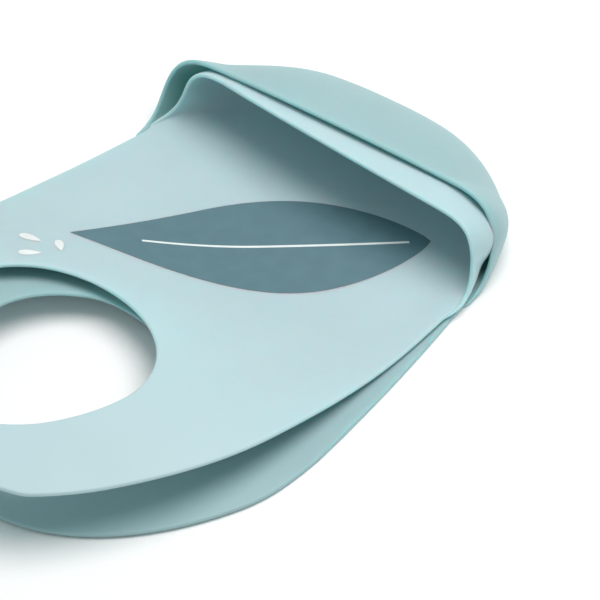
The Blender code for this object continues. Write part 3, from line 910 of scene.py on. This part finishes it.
# The lower bib's material takes the darker colour, which is painted shade.
lower_shaded_silicone = silicone("matte_silicone_lower_shaded", SILICONE_LOWER_PAINTED_SHADE, SILICONE_ROUGH)
upper_silicone = silicone("matte_silicone_upper", SILICONE_UPPER, SILICONE_ROUGH)
slate = ink("print_ink_slate", PRINT_SLATE, INK_ROUGH)
white = ink("print_ink_white", PRINT_WHITE, INK_ROUGH)

for prefix, bib, root_y, mat in (
    ("lower", lower, LOWER_ROOT_Y, lower_shaded_silicone),
    ("upper", upper, UPPER_ROOT_Y, upper_silicone),
):
    made = make_bib(prefix, bib, root_y, mat)
    if prefix == "upper":
        for cad_name, obj in make_prints(bib, made["body"]).items():
            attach(obj, "upper_bib")
            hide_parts(cad_name)
    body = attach(made["body"], f"{prefix}_bib")
    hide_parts(f"{prefix}_apron", f"{prefix}_pouch")
    for kind in ("stud", "hole"):
        strap = made[f"{kind}_strap"]
        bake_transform(strap)
        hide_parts(f"{prefix}_{kind}_strap")
    for i, (x, y) in enumerate(stations(bib, 1, STUD_COUNT)):
        here, normal = facing(bib, x, y)
        mesh = lathe(f"{prefix}_stud_{i + 1}_skin", stud_profile(), here, normal)
        mesh.materials.append(mat)
        stud = add_piece(mesh.name, mesh)
        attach(stud, f"{prefix}_stud_side")
        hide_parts(f"{prefix}_stud_{i + 1}")

# Floor
FLOOR_HALF = 4.0
FLOOR_Z = -0.1 * MM
floor_mesh = bpy.data.meshes.new("floor")
floor_corners = [(x * FLOOR_HALF, y * FLOOR_HALF, FLOOR_Z) for x, y in ((-1, -1), (1, -1), (1, 1), (-1, 1))]
floor_mesh.from_pydata(floor_corners, [], [(0, 1, 2, 3)])
floor = add_piece("floor", floor_mesh)
floor_mat = bpy.data.materials.new("white_table")
floor_mat.use_nodes = True
floor_shader = floor_mat.node_tree.nodes["Principled BSDF"]
floor_shader.inputs["Base Color"].default_value = (0.97, 0.97, 0.97, 1)
floor_shader.inputs["Roughness"].default_value = 0.9
floor_shader.inputs["Specular IOR Level"].default_value = 0.1
floor_mesh.materials.append(floor_mat)

# Light: an even surround, and a large soft disc above the pouch
KEY_PLACE = Vector((0.12, 0.20, 0.95))
KEY_TARGET = Vector((0, 0.03, 0.01))
world = bpy.data.worlds.new("studio")
bpy.context.scene.world = world
world.use_nodes = True
world.node_tree.nodes["Background"].inputs["Color"].default_value = (0.84, 1.0, 1.0, 1)
world.node_tree.nodes["Background"].inputs["Strength"].default_value = 0.45
key_data = bpy.data.lights.new("key", "AREA")
key_data.shape = "DISK"
key_data.size = 0.9
key_data.energy = 8.6
key_data.color = (1.0, 0.935, 0.925)
key = bpy.data.objects.new("key", key_data)
key.location = KEY_PLACE
key.rotation_mode = "QUATERNION"
key.rotation_quaternion = (KEY_TARGET - KEY_PLACE).to_track_quat("-Z", "Y")
bpy.context.scene.collection.objects.link(key)

# Camera
AZIMUTH = 38.673 * DEG
ELEVATION = 42.985 * DEG
DISTANCE = 0.9243
TARGET = Vector((0.0151, 0.0129, 0.0))
camera_data = bpy.data.cameras.new("camera")
camera = bpy.data.objects.new("camera", camera_data)
bpy.context.scene.collection.objects.link(camera)
back = Vector((
    math.sin(AZIMUTH) * math.cos(ELEVATION), -math.cos(AZIMUTH) * math.cos(ELEVATION), math.sin(ELEVATION)
))
camera.location = TARGET + back * DISTANCE
camera.rotation_mode = "QUATERNION"
camera.rotation_quaternion = (-back).to_track_quat("-Z", "Y")
camera_data.sensor_width = 36
camera_data.lens = 119.63
camera_data.shift_x = 0.125
camera_data.shift_y = -0.0039
camera_data.clip_start = 0.01
camera_data.clip_end = 20
bpy.context.scene.camera = camera
bpy.context.scene.view_settings.view_transform = "Standard"
bpy.context.scene.view_settings.look = "None"
